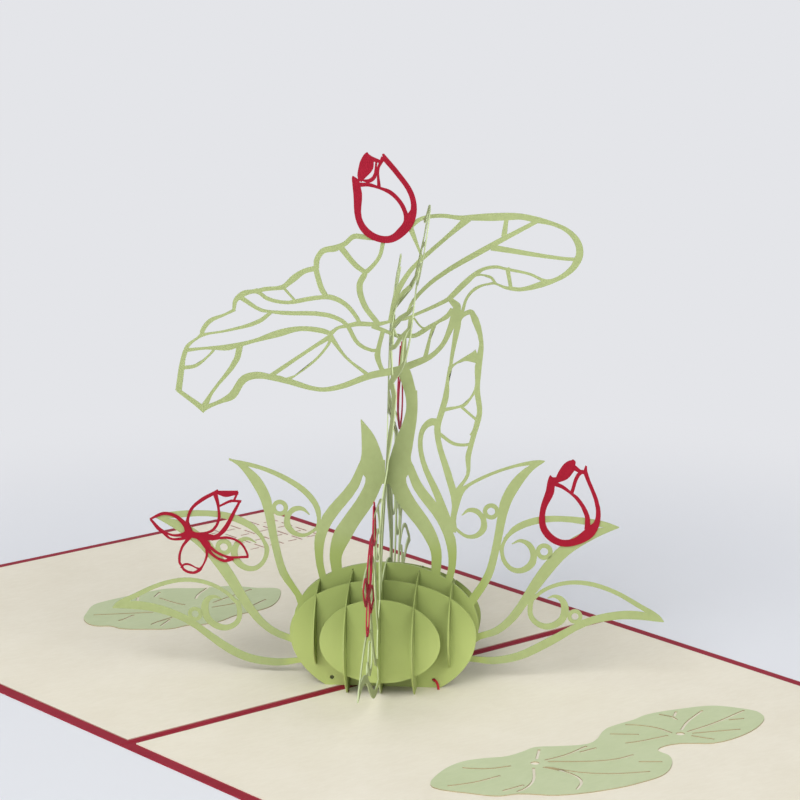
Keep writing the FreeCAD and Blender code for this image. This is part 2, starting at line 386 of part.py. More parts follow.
FRONT_PADS = [
    (81.7, 55.6), (85.1, 54.2), (87.9, 50.8), (90, 45.8), (91.4, 40.5), (91.1, 35.5),
    (91.3, 31.5), (89.8, 28.6), (87, 25.8), (85.4, 22.4), (85.2, 18.6), (86.6, 16.4),
    (89.2, 16.5), (91.8, 15.3), (94.5, 13.3), (97, 9.8), (99.3, 5.5), (99.6, 0),
    (99.4, -5.5), (98, -11), (95.8, -16.5), (93.8, -22), (90, -25.8), (87, -28.8),
    (85.8, -32.3), (82.8, -35.2), (79, -37.4), (75, -39.4), (71.2, -41), (68.3, -39.3),
    (65.8, -35.5), (63.3, -30), (62.4, -25), (63.4, -20), (66, -15), (66.3, -9),
    (66, -3.8), (68.2, -0.6), (70.6, 3.2), (72.2, 7.6), (70.6, 11.6), (67.9, 15.8),
    (66.4, 20.5), (66.6, 26.5), (65.6, 31.7), (66.6, 37), (67.6, 42), (69.3, 46),
    (71, 50), (74, 52.6), (77.5, 54.4),
]
FRONT_PADS_EYES = [(81.2, 29.2), (74.2, -12)]
FRONT_PADS_VEINS = [
    [(78.8, 53.8), (80.1, 47.5), (81, 40), (81.3, 31.5)],
    [(83.2, 49.3), (81.5, 45.6)],
    [(72.3, 45.8), (75.3, 38.2), (79.4, 31.3)],
    [(68.7, 40.2), (71, 37.2)],
    [(67.5, 35.4), (70, 36.4), (73.2, 36)],
    [(88.2, 42.8), (85.5, 37.6), (82.8, 31.6)],
    [(89.4, 32.6), (83.9, 30.2)],
    [(79.6, 28), (73.5, 27.6), (67.8, 23.6)],
    [(80.2, 26), (79.4, 20), (77.6, 14.2)],
    [(75.2, 21.2), (72.8, 18.4), (70.4, 16)],
    [(95.8, 4.8), (91.5, -2.6), (86.5, -7.6), (79, -11)],
    [(84.8, 10), (83.6, 2.4), (79, -4.6), (75.4, -9)],
    [(73.2, 5.6), (74.5, -1), (74.2, -8.8)],
    [(75.6, 6.6), (75.4, 1.4)],
    [(92.8, 11.8), (89.2, 7.4)],
    [(67.8, -4.8), (72.4, -9.8)],
    [(93.6, -16.6), (90.4, -12.2), (77.5, -12.4)],
    [(72, -17.6), (69.6, -23.6), (65.6, -27.2)],
    [(75.4, -24), (75, -31), (72.8, -38)],
    [(76.4, -14.4), (80.2, -17.6), (83, -20.6), (86, -28.2)],
    [(83.6, -24), (83.4, -30.4)],
]
EYE_SIDES = 10


def smooth_samples(points, closed=False):
    """Samples a smooth line through the points, closer together where it turns."""
    curve = Part.BSplineCurve()
    curve.interpolate(Points=[FreeCAD.Vector(*point) for point in points], PeriodicFlag=closed)
    looks = LOOKS_PER_POINT * len(points)
    stretch = curve.LastParameter - curve.FirstParameter
    spots = [curve.FirstParameter + stretch * look / looks for look in range(looks + 1)]
    kept = spots[:1]
    for spot, following in zip(spots[1:], spots[2:]):
        if strays(curve, kept[-1], following):
            kept.append(spot)
    if not closed:
        kept.append(spots[-1])
    return curve, kept


def strays(curve, start, end):
    """Whether one straight line is too far from the curve between two spots."""
    first = curve.value(start)
    chord = curve.value(end) - first
    offsets = []
    for share in (0.25, 0.5, 0.75):
        away = curve.value(start + (end - start) * share) - first
        offsets.append(away.cross(chord).Length / chord.Length)
    return max(offsets) > CURVE_ERROR or turn_between(curve, start, end) > SHARPEST_TURN


def turn_between(curve, start, end):
    """The angle that the curve turns between two spots, seen in the drawing's plane."""
    headings = [curve.tangent(spot)[0] for spot in (start, end)]
    first, second = [FreeCAD.Vector(heading.x, heading.y, 0) for heading in headings]
    return first.getAngle(second)


def flat_face(corners):
    """A flat face in the drawing's plane, from its corners."""
    ring = [FreeCAD.Vector(across, up, 0) for across, up in corners]
    return Part.Face(Part.makePolygon(ring + ring[:1]))


def ribbon(stroke):
    """The face of one stroke: a band of changing width along a smooth line."""
    curve, samples = smooth_samples(stroke)
    left = []
    right = []
    for sample in samples:
        spot = curve.value(sample)
        heading = curve.tangent(sample)[0]
        run = math.hypot(heading.x, heading.y)
        reach = max(spot.z, FINEST_TIP) / 2
        side = (-heading.y / run * reach, heading.x / run * reach)
        left.append((spot.x + side[0], spot.y + side[1]))
        right.append((spot.x - side[0], spot.y - side[1]))
    return flat_face(right + left[::-1])


def disc(across, up, radius, sides):
    """A round face with a few straight sides."""
    turns = [2 * math.pi * side / sides for side in range(sides)]
    return flat_face([(across + radius * math.cos(t), up + radius * math.sin(t)) for t in turns])


def eyelet(across, up, outer, inner):
    """A small flat ring."""
    return disc(across, up, outer, EYELET_SIDES).cut(disc(across, up, inner, EYELET_SIDES))


def joined(faces):
    """One flat face from many that overlap."""
    patchwork = faces[0].multiFuse(faces[1:])
    return Part.makeCompound(Part.Shell(patchwork.Faces).removeSplitter().Faces)


def mirrored(strokes):
    """The same strokes on the other side of the middle line."""
    return [[(-across, up, width) for across, up, width in stroke] for stroke in strokes]


def moved(strokes, across_by=0.0, up_by=0.0, grow=1.0):
    """The same strokes at another place, and larger or smaller."""
    return [[(across * grow + across_by, up * grow + up_by, width * grow)
             for across, up, width in stroke] for stroke in strokes]


def bolder(strokes, share):
    """The same strokes, wider or narrower."""
    return [[(across, up, width * share) for across, up, width in stroke] for stroke in strokes]


def hung(strokes, hang):
    """The same strokes, lower and wider by amounts that change with the distance from the middle."""
    changed = []
    for stroke in strokes:
        points = []
        for across, up, width in stroke:
            lower, wider = hang_at(across, hang)
            points.append((across + wider, up - lower, width))
        changed.append(points)
    return changed


def hang_at(across, hang):
    """The drop and the spread between the given distances, in straight runs."""
    for (near, near_lower, near_wider), (far, far_lower, far_wider) in zip(hang, hang[1:]):
        if across <= far:
            share = max(0.0, (across - near) / (far - near))
            lower = near_lower + (far_lower - near_lower) * share
            return lower, near_wider + (far_wider - near_wider) * share
    return hang[-1][1:]


def tilted(strokes, degrees, pivot_up):
    """The same strokes, turned in their plane about a point of the middle line."""
    cosine = math.cos(math.radians(degrees))
    sine = math.sin(math.radians(degrees))
    return [[(across * cosine + (up - pivot_up) * sine,
              pivot_up - across * sine + (up - pivot_up) * cosine, width)
             for across, up, width in stroke] for stroke in strokes]


def paper(name, face, thickness, family, back):
    """A sheet of paper in the shape of a drawn face, upright at a middle slat, its back at a given depth."""
    piece = doc.addObject("Part::Feature", name)
    piece.Shape = face.extrude(FreeCAD.Vector(0, 0, thickness))
    piece.Label = name
    upright = FreeCAD.Rotation(FreeCAD.Vector(1, 0, 0), 90)
    seat = FreeCAD.Placement(FreeCAD.Vector(0, back, 0), upright)
    piece.Placement = slat_place(family, 0, card_top()) * seat
    return piece


def oval_face(half, height, low, high):
    """The stretch between two heights of an elliptic disc about the widest level."""
    middle = FreeCAD.Vector(0, size("widest_level"), 0)
    axes = [FreeCAD.Vector(half, 0, 0), FreeCAD.Vector(0, height, 0)]
    if height > half:
        axes = [axes[1], -axes[0]]
    curve = Part.Ellipse(middle + axes[0], middle + axes[1], middle)
    band = ((-2 * half, low), (2 * half, low), (2 * half, high), (-2 * half, high))
    return Part.Face(Part.Wire(curve.toShape())).common(flat_face(band))


def half_oval(name, half, height, floor, rising):
    """The upper or lower half of an oval slat: an elliptic disc, kept on one side of its widest line."""
    outline = doc.addObject("Part::Ellipse", name + "_outline")
    if size(half) >= size(height):
        bind(outline, MajorRadius="Sizes." + half, MinorRadius="Sizes." + height)
        outline.Placement.Rotation = FreeCAD.Rotation(FreeCAD.Vector(1, 0, 0), 90)
    else:
        bind(outline, MajorRadius="Sizes." + height, MinorRadius="Sizes." + half)
        outline.Placement.Rotation = FreeCAD.Rotation(FreeCAD.Vector(1, 1, 1), 240)
    bind(outline, Placement__Base__z="Sizes.widest_level")
    disc_solid = doc.addObject("Part::Extrusion", name + "_disc")
    disc_solid.Base = outline
    disc_solid.DirMode = "Custom"
    disc_solid.Dir = FreeCAD.Vector(0, 1, 0)
    disc_solid.Solid = True
    disc_solid.Symmetric = True
    bind(disc_solid, LengthFwd="Sizes.slat_thickness")
    keep = doc.addObject("Part::Box", name + "_side")
    bind(keep, Length="4 * Sizes." + half, Width="4 * Sizes.slat_thickness")
    bind(keep, Placement__Base__x="-2 * Sizes." + half)
    bind(keep, Placement__Base__y="-2 * Sizes.slat_thickness")
    if rising:
        bind(keep, Height="2 * Sizes." + height, Placement__Base__z="Sizes.widest_level")
    else:
        bind(keep, Height="Sizes.widest_level - (%s)" % floor, Placement__Base__z=floor)
    part_of_disc = doc.addObject("Part::MultiCommon", name)
    part_of_disc.Shapes = [disc_solid, keep]
    return part_of_disc


def slot(name, index, from_below, top):
    """The gap that a crossing slat takes: from the middle level down, or up to a given height."""
    gap = doc.addObject("Part::Box", name)
    bind(gap, Length="Sizes.slat_thickness + 2 * Sizes.slot_clearance")
    bind(gap, Width="4 * Sizes.slat_thickness")
    bind(gap, Placement__Base__x="%d * Sizes.slat_pitch - (Sizes.slat_thickness + 2 * "
         "Sizes.slot_clearance) / 2" % index)
    bind(gap, Placement__Base__y="-2 * Sizes.slat_thickness")
    if from_below:
        bind(gap, Placement__Base__z="-2 * Sizes.slat_thickness")
        bind(gap, Height="Sizes.widest_level + Sizes.slot_end_gap + 2 * Sizes.slat_thickness")
    else:
        bind(gap, Placement__Base__z="Sizes.widest_level - Sizes.slot_end_gap")
        bind(gap, Height="%s + Sizes.slot_overshoot + Sizes.slot_end_gap" % top)
    return gap


def oval_kind(index):
    """Cells that size a slat, by its place in the family: half width, rise, drop, and its foot."""
    kinds = {
        0: ("wide_half", "tall_rise", "wide_drop", "0"),
        1: ("wide_half", "wide_rise", "wide_drop", "0"),
        2: ("small_half", "small_rise", "small_drop", "Sizes.widest_level - Sizes.small_drop"),
    }
    return kinds[abs(index)]


def slat_name(family, index):
    """The node name of a slat."""
    places = {-2: "outer_front", -1: "inner_front", 0: "middle", 1: "inner_rear", 2: "outer_rear"}
    if family == "cross":
        places.update({-2: "outer_left", -1: "inner_left", 1: "inner_right", 2: "outer_right"})
    return "%s_slat_%s" % (family, places[index])


def pinhole(name, across):
    """The hole in a slat that the thread passes through."""
    hole = doc.addObject("Part::Cylinder", name)
    bind(hole, Radius="Sizes.thread_diameter / 2 + Sizes.pinhole_clearance")
    bind(hole, Height="4 * Sizes.slat_thickness")
    bind(hole, Placement__Base__x=across, Placement__Base__z="Sizes.stitch_radius")
    bind(hole, Placement__Base__y="2 * Sizes.slat_thickness")
    hole.Placement.Rotation = FreeCAD.Rotation(FreeCAD.Vector(1, 0, 0), 90)
    return hole


def foot_tab(name, index):
    """The tab under a cross slat, through the liner down to the cover."""
    tab = doc.addObject("Part::Box", name)
    bind(tab, Length="Sizes.tab_length", Width="Sizes.slat_thickness")
    bind(tab, Height="2 * Sizes.liner_thickness")
    bind(tab, Placement__Base__x="%d * Sizes.tab_reach - Sizes.tab_length / 2" % index)
    bind(tab, Placement__Base__y="-Sizes.slat_thickness / 2")
    bind(tab, Placement__Base__z="-Sizes.liner_thickness")
    return tab


def slat_place(family, index, height):
    """Where a slat stands: its family's direction, and one pitch further back for each place."""
    turn = FreeCAD.Rotation(FreeCAD.Vector(0, 0, 1), FAMILY_TURN[family])
    other_family = "cross" if family == "front" else "front"
    along_other = FreeCAD.Rotation(FreeCAD.Vector(0, 0, 1), FAMILY_TURN[other_family])
    step = along_other.multVec(FreeCAD.Vector(index * size("slat_pitch"), 0, 0))
    middle = FreeCAD.Vector(0, size("lattice_shift"), height)
    return FreeCAD.Placement(middle + step, turn)


def card_top():
    """Height of the liners' upper face."""
    return size("cover_thickness") + size("liner_thickness")


def crossing_slats(index):
    """The places in the other family whose slats cross this one."""
    reach = size(oval_kind(index)[0])
    return [other for other in SLATS if abs(other) * size("slat_pitch") < reach
            and abs(index) * size("slat_pitch") < size(oval_kind(other)[0])]


def slat(family, index):
    """One plain slat: its oval and any tab, less the slots and holes."""
    name = slat_name(family, index)
    half, rise, drop, floor = oval_kind(index)
    pieces = [half_oval(name + "_upper", half, rise, floor, True),
              half_oval(name + "_lower", half, drop, floor, False)]
    if family == "cross" and abs(index) == 1:
        pieces.append(foot_tab(name + "_tab", index))
    whole = doc.addObject("Part::MultiFuse", name + "_whole")
    whole.Shapes = pieces
    whole.Refine = True
    gaps = []
    for other in crossing_slats(index):
        top = "Sizes." + oval_kind(other)[1]
        gaps.append(slot("%s_slot_%d" % (name, other + 2), other, family == "cross", top))
    if family == "front" and abs(index) == 1:
        gaps.append(pinhole(name + "_hole_left", "-Sizes.stitch_reach"))
        gaps.append(pinhole(name + "_hole_right", "Sizes.stitch_reach"))
    cutters = doc.addObject("Part::MultiFuse", name + "_gaps")
    cutters.Shapes = gaps
    finished = doc.addObject("Part::Cut", name)
    finished.Base = whole
    finished.Tool = cutters
    finished.Label = name
    finished.Placement = slat_place(family, index, card_top())
    return finished


def frond_shift():
    """How far the fronds move out when the wide ovals are made wider than drawn."""
    return size("wide_half") - DRAWN_WIDE_HALF


def fronds(hanging=False):
    """The three fronds of one side, with their scrolls."""
    groups = [FROND_UPPER, FROND_MIDDLE, FROND_LOWER]
    if hanging:
        hangs = [UPPER_HANG, MIDDLE_HANG, LOWER_HANG]
        groups = [hung(group, hang) for group, hang in zip(groups, hangs)]
    return moved(groups[0] + groups[1] + groups[2], across_by=frond_shift())


def eyelet_faces(side, hanging=False):
    """The eyelets of one side."""
    hangs = [UPPER_HANG, MIDDLE_HANG, LOWER_HANG]
    rings = []
    for (across, up, outer, inner), hang in zip(EYELETS, hangs):
        lower, wider = hang_at(across, hang) if hanging else (0, 0)
        rings.append(eyelet(side * (across + wider + frond_shift()), up - lower, outer, inner))
    return rings


def gap_face(middle, low, high):
    """The gap of a crossing slat, in the drawing's plane."""
    reach = size("slat_thickness") / 2 + size("slot_clearance")
    return flat_face(((middle - reach, low), (middle + reach, low), (middle + reach, high),
                      (middle - reach, high)))


def middle_gaps(family):
    """The gaps of a middle slat: one for each crossing slat, and those where the two leaves cross."""
    end_gap = size("slot_end_gap")
    level = size("widest_level")
    faces = []
    for other in crossing_slats(0):
        top = level + size(oval_kind(other)[1]) + size("slot_overshoot")
        low, high = (level - end_gap, top) if family == "front" else (-1, level + end_gap)
        faces.append(gap_face(other * size("slat_pitch"), low, high))
    meeting = size("web_mid")
    if family == "front":
        faces.append(gap_face(0, meeting - end_gap, size("web_high")))
    else:
        faces.append(gap_face(0, size("web_low"), meeting + end_gap))
        faces.append(gap_face(0, size("leaf_slot_low"), size("leaf_slot_high")))
    return faces


def middle_slat(family, strokes, rings):
    """A middle slat: its oval and its cut work as one sheet of paper, less its gaps."""
    name = slat_name(family, 0)
    half, rise, drop, floor = oval_kind(0)
    level = size("widest_level")
    faces = [oval_face(size(half), size(rise), level, level + size(rise)),
             oval_face(size(half), size(drop), 0, level)]
    faces += [ribbon(stroke) for stroke in strokes] + rings
    thickness = size("slat_thickness")
    return paper(name, joined(faces).cut(middle_gaps(family)), thickness, family, thickness / 2)


def front_cut_work():
    """Lotus leaf, curled side leaf, stalks and fronds of the front family's middle slat."""
    strokes = bolder(LEAF_RIM + LEAF_VEINS + LEAF_CLEFT + SIDE_LEAF, size("leaf_strand_share"))
    strokes += LEAF_STALK + [leaf_joint(underside_level(JOINT_ACROSS))] + SPIRE + WEB
    strokes += STALK + SIDE_CREST + fronds()
    strokes += LEFT_STALK + mirrored(hung(PLAIN_CREST, UPPER_HANG) + fronds(hanging=True))
    return strokes


def underside_level(across):
    """The height of the lower rim of the leaf over a place on its slat."""
    rim = LEAF_RIM[UNDERSIDE]
    for (near, near_up, width), (far, far_up, width) in zip(rim, rim[1:]):
        if across <= far:
            return near_up + (far_up - near_up) * (across - near) / (far - near)
    return rim[-1][1]


def leaf_joint(head):
    """The head of the stalk, up to the rim of the leaf."""
    return [(6.5, 73.5, 2.9), (6, 75.5, 3.2), (5, head - 1.8, 3.2), (JOINT_ACROSS, head, 3.0)]


def cross_cut_work():
    """Lotus leaf, stalks and fronds of the cross family's middle slat, with the high lobe in front."""
    drop = size("cross_leaf_drop")
    tilt = size("cross_leaf_tilt")
    leaf = bolder(mirrored(LEAF_RIM + LEAF_VEINS), size("leaf_strand_share"))
    leaf = tilted(moved(leaf, up_by=-drop), tilt, LEAF_PIVOT - drop)
    head = underside_level(JOINT_ACROSS) - drop + JOINT_ACROSS * math.sin(math.radians(tilt))
    both_sides = STALK + fronds() + PLAIN_CREST
    strokes = leaf + mirrored(LEAF_STALK + [leaf_joint(head)] + SPIRE) + WEB
    strokes += both_sides + mirrored(both_sides)
    return strokes


def bloom(name, strokes, family):
    """A red bloom, glued on the near face of a middle slat."""
    face = joined([ribbon(stroke) for stroke in strokes])
    return paper(name, face, size("bloom_thickness"), family, -size("slat_thickness") / 2)


def lily_pad(name, outline, eyes, veins):
    """A flat lily pad with cut veins, glued on a liner."""
    curve, samples = smooth_samples([(across, along, 0) for across, along in outline], closed=True)
    face = flat_face([(curve.value(sample).x, curve.value(sample).y) for sample in samples])
    width = size("vein_width")
    cuts = [ribbon([(across, along, width) for across, along in vein]) for vein in veins]
    cuts += [disc(across, along, size("pad_eye"), EYE_SIDES) for across, along in eyes]
    pad = doc.addObject("Part::Feature", name)
    pad.Shape = face.cut(cuts).extrude(FreeCAD.Vector(0, 0, size("pad_thickness")))
    pad.Label = name
    pad.Placement.Base = FreeCAD.Vector(0, size("lattice_shift") - DRAWN_LATTICE_SHIFT, card_top())
    return pad


def rectangle(sketch, width, length):
    """A rectangle about the sketch's origin, with its two sides tied to the sheet."""
    corners = [FreeCAD.Vector(x, y, 0) for x, y in ((-1, -1), (1, -1), (1, 1), (-1, 1))]
    for start, end in zip(corners, corners[1:] + corners[:1]):
        sketch.addGeometry(Part.LineSegment(start, end))
    for side in range(4):
        sketch.addConstraint(Sketcher.Constraint("Coincident", side, 2, (side + 1) % 4, 1))
    for side in (0, 2):
        sketch.addConstraint(Sketcher.Constraint("Horizontal", side))
        sketch.addConstraint(Sketcher.Constraint("Vertical", side + 1))
    sketch.addConstraint(Sketcher.Constraint("Symmetric", 0, 1, 2, 1, -1, 1))
    for name, kind, side, formula in (("width", "DistanceX", 0, width), ("length", "DistanceY", 1, length)):
        place = sketch.addConstraint(Sketcher.Constraint(kind, side, 1, side, 2, 1.0))
        sketch.renameConstraint(place, name)
        sketch.setExpression("Constraints." + name, formula)


def base_sketch(body, name):
    """A sketch on the body's own ground plane."""
    sketch = body.newObject("Sketcher::SketchObject", name)
    plane = [item for item in body.Origin.OriginFeatures if item.Role == "XY_Plane"][0]
    sketch.AttachmentSupport = [(plane, "")]
    sketch.MapMode = "FlatFace"
    return sketch


def cover_card():
    """The folded cover, lying open, with the scored line of its fold."""
    body = doc.addObject("PartDesign::Body", "cover_card")
    body.Label = "cover_card"
    outline = base_sketch(body, "cover_outline")
    rectangle(outline, "2 * Sizes.half_width", "Sizes.fold_length")
    board = body.newObject("PartDesign::Pad", "cover_board")
    board.Profile = outline
    bind(board, Length="Sizes.cover_thickness")
    doc.recompute()
    score = base_sketch(body, "crease_outline")
    rectangle(score, "Sizes.crease_width", "Sizes.fold_length + 2 * Sizes.crease_width")
    bind(score, AttachmentOffset__Base__z="Sizes.cover_thickness")
    crease = body.newObject("PartDesign::Pocket", "crease")
    crease.Profile = score
    bind(crease, Length="Sizes.crease_depth")
    doc.recompute()
    return body


def liner_cutter(name, length, width, angle, base):
    """An upright cut through a liner: a box about its middle, turned on the card."""
    cutter = doc.addObject("Part::Box", name)
    bind(cutter, Length=length, Width=width, Height="3 * Sizes.liner_thickness")
    doc.recompute()
    turn = FreeCAD.Rotation(FreeCAD.Vector(0, 0, 1), angle)
    corner = turn.multVec(FreeCAD.Vector(-cutter.Length.Value / 2, -cutter.Width.Value / 2, 0))
    below = FreeCAD.Vector(0, 0, -size("liner_thickness"))
    cutter.Placement = FreeCAD.Placement(base + corner + below, turn)
    return cutter


def tab_slit(side):
    """The slit of a liner that takes the tab of the cross slat on the same side of the lattice."""
    place = slat_place("cross", side, size("cover_thickness"))
    spot = place.multVec(FreeCAD.Vector(side * size("tab_reach"), 0, 0))
    return liner_cutter("tab_slit_%d" % (side + 1), "Sizes.tab_length + 2 * Sizes.tab_clearance",
                        "Sizes.slat_thickness + 2 * Sizes.tab_clearance", FAMILY_TURN["cross"], spot)


def stitch_place(side, height):
    """Where a stitch stands: over the foot of its slat, and not quite square to it."""
    foot = FreeCAD.Vector(-side * size("stitch_reach"), 0, 0)
    turn = FreeCAD.Rotation(FreeCAD.Vector(0, 0, 1), size("stitch_turn"))
    return slat_place("front", side, height) * FreeCAD.Placement(foot, turn)


def stitch_holes(side):
    """Two holes of a liner for the legs of a stitch."""
    holes = []
    place = stitch_place(side, size("cover_thickness"))
    for leg in (-1, 1):
        spot = place.multVec(FreeCAD.Vector(0, leg * size("stitch_radius"), 0))
        hole = doc.addObject("Part::Cylinder", "stitch_hole_%d_%d" % (side + 1, leg + 1))
        bind(hole, Radius="Sizes.thread_diameter / 2 + Sizes.thread_clearance")
        bind(hole, Height="3 * Sizes.liner_thickness")
        hole.Placement.Base = spot - FreeCAD.Vector(0, 0, size("liner_thickness"))
        holes.append(hole)
    return holes


def fret_slits():
    """A square fret of straight slits in the far corner of the left liner."""
    slits = []
    cell = size("fret_cell")
    corner = FreeCAD.Vector(size("liner_border") - size("half_width") + size("fret_inset"),
                            size("fold_length") / 2 - size("liner_border") - size("fret_drop"),
                            size("cover_thickness"))
    for column in range(FRET_CELLS):
        for line in range(FRET_CELLS):
            spot = corner + FreeCAD.Vector(cell * (column + 0.5), -cell * (line + 0.5), 0)
            for kind, (length, angle, across, along) in FRET_CUTS.items():
                name = "fret_%s_%d_%d" % (kind, column, line)
                place = spot + FreeCAD.Vector(cell * across, cell * along, 0)
                long_side = "%s * Sizes.fret_cell" % length
                slits.append(liner_cutter(name, long_side, "Sizes.fret_line", angle, place))
    return slits


def liner(side):
    """One liner, glued on the cover, with the holes that hold the lotus."""
    name = "right_liner" if side > 0 else "left_liner"
    page = doc.addObject("Part::Box", name + "_page")
    bind(page, Length="Sizes.half_width - Sizes.liner_border - Sizes.fold_gap / 2")
    bind(page, Width="Sizes.fold_length - 2 * Sizes.liner_border", Height="Sizes.liner_thickness")
    edge = "Sizes.fold_gap / 2" if side > 0 else "-(Sizes.half_width - Sizes.liner_border)"
    bind(page, Placement__Base__x=edge)
    bind(page, Placement__Base__y="-(Sizes.fold_length / 2 - Sizes.liner_border)")
    bind(page, Placement__Base__z="Sizes.cover_thickness")
    cutters = [tab_slit(-side)] + stitch_holes(-side)
    if side < 0:
        cutters += fret_slits()
    tools = doc.addObject("Part::MultiFuse", name + "_cuts")
    tools.Shapes = cutters
    finished = doc.addObject("Part::Cut", name)
    finished.Base = page
    finished.Tool = tools
    finished.Label = name
    return finished


def stitch(side):
    """A loop of red thread through the foot of a front slat and two holes of the liner."""
    name = "thread_stitch_right" if side < 0 else "thread_stitch_left"
    radius = size("stitch_radius")
    width = size("thread_diameter")
    under = -size("liner_thickness")
    turns = [math.pi * step / ARCH_STEPS for step in range(ARCH_STEPS + 1)]
    edges = []
    for reach in (radius + width / 2, radius - width / 2):
        bend = [(reach * math.cos(turn), reach * math.sin(turn)) for turn in turns]
        edges.append([(reach, under)] + bend + [(-reach, under)])
    thread = doc.addObject("Part::Feature", name)
    thread.Shape = flat_face(edges[0] + edges[1][::-1]).extrude(FreeCAD.Vector(0, 0, width))
    thread.Label = name
    turn = FreeCAD.Rotation(FreeCAD.Vector(1, 1, 1), 120)
    upright = FreeCAD.Placement(FreeCAD.Vector(-width / 2, 0, 0), turn)
    thread.Placement = stitch_place(side, card_top()) * upright
    return thread


def build():
    """Every piece of the card, in the order in which it is put together."""
    pieces = [cover_card(), liner(-1), liner(1)]
    pieces.append(lily_pad("back_lily_pad", BACK_PAD, BACK_PAD_EYES, BACK_PAD_VEINS))
    pieces.append(lily_pad("front_lily_pads", FRONT_PADS, FRONT_PADS_EYES, FRONT_PADS_VEINS))
    for family in ("front", "cross"):
        for index in SLATS:
            if index != 0:
                pieces.append(slat(family, index))
    front_rings = eyelet_faces(1) + eyelet_faces(-1, hanging=True)
    pieces.append(middle_slat("front", front_cut_work(), front_rings))
    pieces.append(middle_slat("cross", cross_cut_work(), eyelet_faces(1) + eyelet_faces(-1)))
    out = frond_shift()
    share = size("bud_strand_share")
    pieces.append(bloom("top_bud", bolder(TOP_BUD, share), "front"))
    pieces.append(bloom("right_bud", bolder(moved(RIGHT_BUD, across_by=out), share), "front"))
    pieces.append(bloom("left_flower", moved(LEFT_FLOWER, across_by=-out), "front"))
    pieces.append(bloom("cross_front_flower", moved(LEFT_FLOWER, across_by=-out), "cross"))
    across, up = SMALL_BUD_PLACE
    small_bud = moved(mirrored(RIGHT_BUD), across_by=across - out, up_by=up, grow=0.5)
    pieces.append(bloom("cross_front_bud", small_bud, "cross"))
    across, up = REAR_BUD_PLACE
    rear_bud = moved(mirrored(TOP_BUD), across_by=across + out, up_by=up)
    pieces.append(bloom("cross_rear_bud", rear_bud, "cross"))
    pieces += [stitch(-1), stitch(1)]
    return pieces


def write_out(pieces):
    """Checks every object, then writes one STEP file for each piece."""
    doc.recompute()
    failed = [item.Name for item in doc.Objects if {"Invalid", "Error"} & set(item.State)]
    if failed:
        raise RuntimeError("not built: " + ", ".join(failed))
    os.makedirs("parts", exist_ok=True)
    for piece in pieces:
        shape = piece.Shape
        if shape.isNull() or not shape.isValid() or not shape.Solids:
            raise RuntimeError(piece.Label + " is not a valid solid")
        print(piece.Label, len(shape.Solids), "solid", round(shape.Volume, 3), "mm3")
    for piece in pieces:
        piece.Shape.exportStep("parts/%s.step" % piece.Label)


write_out(build())
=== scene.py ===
# %% [markdown]
# # A paper lotus that stands up from an open card
# The card is a folded cover with two liners, ten slotted paper slats, red paper blooms and
# flat lily pads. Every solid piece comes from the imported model, in metres, in its own place.
# This notebook gives each paper its finish, adds what is too fine for the solids, and sets
# the light and the camera.

# %% Load the frame
import json
import math

import bmesh
import bpy
from mathutils import Matrix, Vector


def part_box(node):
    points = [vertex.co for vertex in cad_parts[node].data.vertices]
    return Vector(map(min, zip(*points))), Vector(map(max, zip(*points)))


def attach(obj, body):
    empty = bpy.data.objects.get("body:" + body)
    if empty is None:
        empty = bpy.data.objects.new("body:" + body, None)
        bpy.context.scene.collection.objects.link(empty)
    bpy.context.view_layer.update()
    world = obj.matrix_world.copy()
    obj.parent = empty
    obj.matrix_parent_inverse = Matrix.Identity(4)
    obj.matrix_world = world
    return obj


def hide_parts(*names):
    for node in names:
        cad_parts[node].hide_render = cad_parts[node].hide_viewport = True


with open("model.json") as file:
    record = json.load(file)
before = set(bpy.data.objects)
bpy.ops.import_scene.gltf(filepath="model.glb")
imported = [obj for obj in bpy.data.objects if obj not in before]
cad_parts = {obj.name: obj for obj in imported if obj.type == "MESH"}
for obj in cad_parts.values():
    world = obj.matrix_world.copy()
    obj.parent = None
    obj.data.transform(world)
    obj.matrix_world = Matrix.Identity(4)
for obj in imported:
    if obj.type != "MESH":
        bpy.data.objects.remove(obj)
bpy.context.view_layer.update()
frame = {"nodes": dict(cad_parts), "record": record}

MM = 0.001
nodes = frame["nodes"]
print("pieces in the frame:", len(nodes))

# %% [markdown]
# ## Directions of the lattice
# The slats stand at 45 degrees to the fold in two families. The front family faces the
# reader and the cross family is seen nearly on edge. Their two directions are given at 45
# degrees. The height of the pages and the middle of the lattice are read from the pieces,
# so that nothing here repeats a size of the model.

# %% Directions and levels
ALONG_FRONT = Vector((1, 1, 0)).normalized()
ALONG_CROSS = Vector((-1, 1, 0)).normalized()


def middle_of(node):
    """The middle of a piece's box."""
    low, high = (Vector(corner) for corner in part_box(node))
    return (low + high) / 2


PAGE_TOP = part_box("left_liner")[1][2]
LATTICE_MIDDLE = middle_of("front_slat_middle")
LATTICE_MIDDLE.z = PAGE_TOP
print("page top", round(PAGE_TOP / MM, 2), "mm; lattice at", [round(v / MM, 2) for v in LATTICE_MIDDLE])

# %% [markdown]
# ## Shader maths as plain expressions
# Every finish below is worked out from the place on the paper. A small class wraps a socket,
# so that adding, multiplying or mixing two of them writes the node for it.

